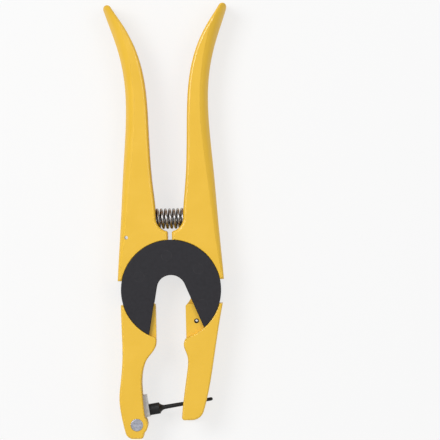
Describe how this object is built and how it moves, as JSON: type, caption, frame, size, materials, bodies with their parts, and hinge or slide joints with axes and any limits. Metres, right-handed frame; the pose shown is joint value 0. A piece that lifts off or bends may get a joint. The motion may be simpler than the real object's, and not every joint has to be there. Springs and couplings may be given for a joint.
{
  "type": "ear tag applicator",
  "caption": "Cast hand pliers for setting livestock ear tags, with an open-throat plate hub, a grip spring, a forked jaw and a flip pin.",
  "frame": {"origin": "centre of the throat, which the two levers turn about, on the back face", "axes": "+Y towards the handle tips, +X towards the right handle, +Z out of the front face"},
  "size_m": [0.0706, 0.2488, 0.022],
  "materials": {
    "yellow_paint": "gloss enamel over cast aluminium",
    "black_paint": "satin black",
    "black_paint_rivet": "satin black",
    "steel": "bright",
    "dark_steel": "oiled",
    "spring_steel": "drawn wire",
    "zinc_screw": "zinc plated",
    "axle_steel": "satin",
    "grey_metal": "satin",
    "blackened_steel": "blackened"
  },
  "bodies": {
    "fixed_lever": {"fixed_lever_casting": "yellow_paint", "front_cover_plate": "black_paint", "rear_cover_plate": "black_paint", "hub_rivets": "black_paint_rivet", "rivet_spacers": "steel", "stop_pin": "dark_steel", "left_spring_seat": "dark_steel", "grip_spring": "spring_steel", "tag_clip": "spring_steel", "clip_screw": "zinc_screw"},
    "moving_lever": {"moving_lever_casting": "yellow_paint", "right_spring_seat": "dark_steel", "flip_axle": "axle_steel", "anchor_screw": "zinc_screw", "rebound_spring": "spring_steel"},
    "flip_pin": {"flip_block": "grey_metal", "hook_pin": "steel", "applicator_pin": "blackened_steel"}
  },
  "joints": [
    {"name": "lever_pivot", "type": "hinge", "parent": "fixed_lever", "child": "moving_lever", "pos_m": [0, 0, 0.011], "axis": [0, 0, 1], "range_deg": [-24, 4], "stiffness_Nm_per_rad": 5.5, "deforming": ["grip_spring"]},
    {"name": "pin_flip", "type": "hinge", "parent": "moving_lever", "child": "flip_pin", "pos_m": [-0.02127, -0.07692, 0.011], "axis": [0, 0, 1], "range_deg": [-85, 0], "stiffness_Nm_per_rad": 0.06, "springref_deg": 11.46, "deforming": ["rebound_spring"]}
  ]
}
